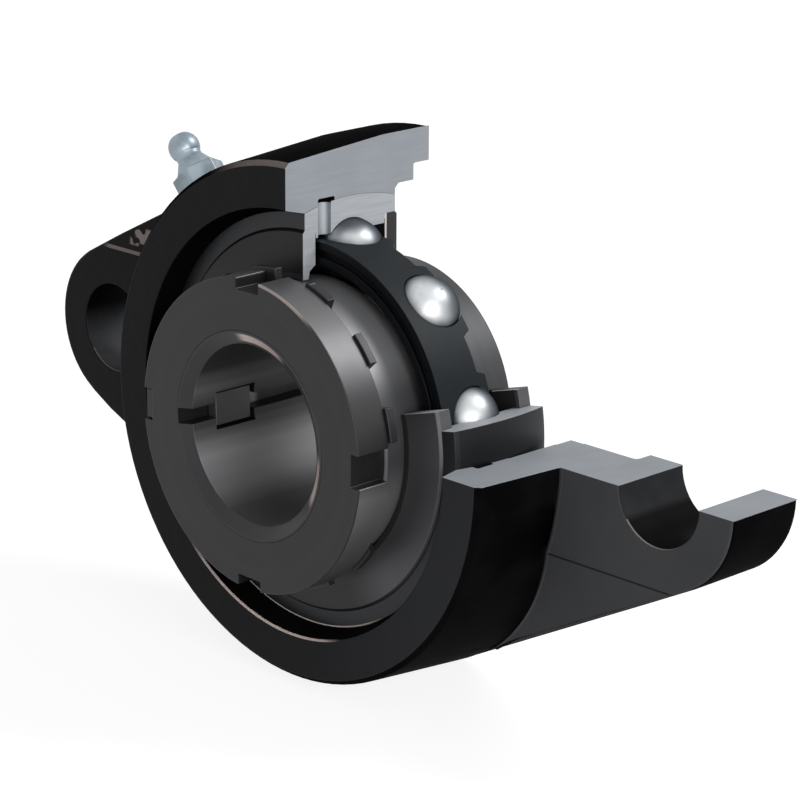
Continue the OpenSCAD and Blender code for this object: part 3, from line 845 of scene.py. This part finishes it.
def washerShape(tree, size):
    back, front, root = size["Back"], size["Back"] + size["Thickness"], size["Disc radius"] - spare
    tooth = tree.block(root, size["Tip radius"] + spare, size["Tooth width"], back, front)
    standing = tree.around(tooth, size["Tooth places"], size["Bent tooth angle"],
                           lambda index: (index > 0.5) * ((index - size["Empty place"]).size() > 0.5))
    around = tree.ring(size["Tip radius"] + 5 * spare, size["Tip radius"], back - spare, front + spare)
    disc = tree.ring(size["Disc radius"], size["Bore radius"], back, front)
    bent, width = size["Bent tooth radius"], size["Bent tooth width"]
    foot = tree.block(root, size["Bent tooth foot"], width, back, front)
    blade = tree.block(bent, bent + size["Thickness"], width, back, back + size["Bent tooth length"])
    near, width = size["Tongue radius"], size["Tongue width"]
    leaf = tree.block(near, near + size["Thickness"], width, size["Tongue back"], front)
    bridge = tree.block(near, root, width, back, front)
    bentTooth = tree.around(tree.joined(foot, blade), 1, size["Bent tooth angle"])
    tongue = tree.around(tree.joined(leaf, bridge), 1, size["Tongue angle"])
    return tree.joined(disc, tree.carved(standing, around), bentTooth, tongue)


lockWasher = grow("lockWasher", washerLook, washerShape, washerSteel)
standFor(lockWasher, "lock_washer", "inner", grownRounding["washer"])

cageLook = {"Outer radius": 29.6 * mm, "Inner radius": 24.0 * mm, "Front": 24.9 * mm, "Web back": 15.7 * mm,
            "Horn back": 14.1 * mm, "Balls": 9, "First ball angle": 9.5, "Ball centre": 17.7 * mm,
            "Pocket radius": 5.85 * mm, "Horn thickness": 1.6 * mm, "Pocket waist": 27.55 * mm,
            "Pocket mouth radius": 5.01 * mm, "Mouth radius": 25.8 * mm, "Mouth depth": 2.6 * mm,
            "Fold outer radius": 28.3 * mm, "Fold width": 1.2 * mm, "Fold depth": 0.8 * mm}
ballSides = 96  # sides of a round ball pocket


def cageShape(tree, size):
    outer, inner, front = size["Outer radius"], size["Inner radius"], size["Front"]
    start, waist = inner - 1.5 * spare, size["Pocket waist"]
    hornRadius = size["Pocket radius"] + size["Horn thickness"]

    def roundBalls(drum):
        lying = tree.moved(tree.tilted(drum, 0.0, 90 * degree, 0.0), 0.0, 0.0, size["Ball centre"])
        return tree.around(lying, size["Balls"], size["First ball angle"])

    band = tree.ring(outer, inner, size["Horn back"], front)
    behind = tree.ring(outer + spare, inner - spare, size["Horn back"] - spare, size["Web back"])
    horns = roundBalls(tree.drum(hornRadius, hornRadius, start, outer + 2 * spare, ballSides))
    solid = tree.carved(band, tree.carved(behind, horns))
    pocket = tree.drum(size["Pocket radius"], size["Pocket radius"], start, waist, ballSides)
    mouth = tree.drum(size["Pocket radius"], size["Pocket mouth radius"], waist, outer + touch, ballSides)
    flare = tree.drum(inner, size["Mouth radius"], front - size["Mouth depth"], front + touch)
    fold = tree.ring(size["Fold outer radius"], size["Fold outer radius"] - size["Fold width"],
                     front - size["Fold depth"], front + spare)
    return tree.carved(tree.carved(solid, roundBalls(tree.joined(pocket, mouth))), flare, fold)


cageRing = grow("cageRing", cageLook, cageShape, cagePolymer)
standFor(cageRing, "cage", "cage", grownRounding["cage"])

for nodeName in ["ball_" + str(number) for number in range(1, 10)] + ["nipple_ball"]:
    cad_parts[nodeName].material_slots[0].material = ballPolished
print("nut, washer, cage and balls dressed")

# Floor, backdrop, light and camera
studio = {"floorHeight": -45.2 * mm, "floorSize": 6.0, "floorGrey": (0.30, 0.30, 0.30), "floorGlow": 0.86,
          "worldLight": 0.30, "aim": (0.0, -0.02, 0.0),
          "keyAt": (0.55, 0.75, 0.92), "keySize": 0.6, "keyPower": 9.0,
          "sideAt": (1.1, -0.35, 0.35), "sideSize": 0.6, "sidePower": 5.6,
          "fillAt": (0.80, -0.80, 0.02), "fillSize": 0.6, "fillPower": 3.0}


def seenRay(tree):
    rays = tree.nodeTree.nodes.new("ShaderNodeLightPath")
    kinds = ("Is Camera Ray", "Is Glossy Ray", "Is Transmission Ray")
    wires = [Wire(tree, rays.outputs[kind]) for kind in kinds]
    return wires[0].atLeast(wires[1]).atLeast(wires[2])


world = bpy.data.worlds.new("studioWorld")
bpy.context.scene.world = world
world.use_nodes = True
sky = Tree(world.node_tree)
paleSky = seenRay(sky)
strength = studio["worldLight"] + paleSky * (1.0 - studio["worldLight"])
background = sky.node("ShaderNodeBackground", inputs={"Color": (1.0, 1.0, 1.0), "Strength": strength})
sky.node("ShaderNodeOutputWorld", inputs={"Surface": background})

bpy.ops.mesh.primitive_plane_add(size=studio["floorSize"], location=(0.0, 0.0, studio["floorHeight"]))
floor = bpy.context.object
floor.name = "paleFloor"
floorMaterial = bpy.data.materials.new("paleFloor")
floorMaterial.use_nodes = True
ground = Tree(floorMaterial.node_tree)
diffuse = ground.node("ShaderNodeBsdfDiffuse", inputs={"Color": studio["floorGrey"]})
paleFloor = seenRay(ground) * studio["floorGlow"]
glow = ground.node("ShaderNodeEmission", inputs={"Color": (1.0, 1.0, 1.0), "Strength": paleFloor})
both = ground.node("ShaderNodeAddShader", inputs={0: diffuse, 1: glow})
ground.node("ShaderNodeOutputMaterial", inputs={"Surface": both})
floor.data.materials.append(floorMaterial)


def softBox(name, at, size, power):
    lamp = bpy.data.lights.new(name, "AREA")
    lamp.shape = "DISK"
    lamp.size = size
    lamp.energy = power
    box = bpy.data.objects.new(name, lamp)
    box.location = at
    box.rotation_euler = (Vector(studio["aim"]) - Vector(at)).to_track_quat("-Z", "Y").to_euler()
    bpy.context.scene.collection.objects.link(box)
    return box


for name in ("key", "side", "fill"):
    softBox(name + "Light", studio[name + "At"], studio[name + "Size"], studio[name + "Power"])

cameraLook = {"azimuth": 46.99, "elevation": 17.20, "distance": 0.5131, "target": (0.0, -0.019, 0.0),
              "lens": 140.38, "shiftX": 0.0693, "shiftY": 0.01285}
around = math.radians(cameraLook["azimuth"])
above = math.radians(cameraLook["elevation"])
back = Vector((math.sin(around) * math.cos(above), -math.cos(around) * math.cos(above), math.sin(above)))
cameraData = bpy.data.cameras.new("photoCamera")
cameraData.sensor_width = 36.0
cameraData.lens = cameraLook["lens"]
cameraData.shift_x = cameraLook["shiftX"]
cameraData.shift_y = cameraLook["shiftY"]
cameraData.clip_start = 0.01
cameraData.clip_end = 20.0
camera = bpy.data.objects.new("photoCamera", cameraData)
camera.location = Vector(cameraLook["target"]) + back * cameraLook["distance"]
camera.rotation_euler = (-back).to_track_quat("-Z", "Y").to_euler()
bpy.context.scene.collection.objects.link(camera)
bpy.context.scene.camera = camera
bpy.context.scene.view_settings.view_transform = "Standard"
print("studio ready")
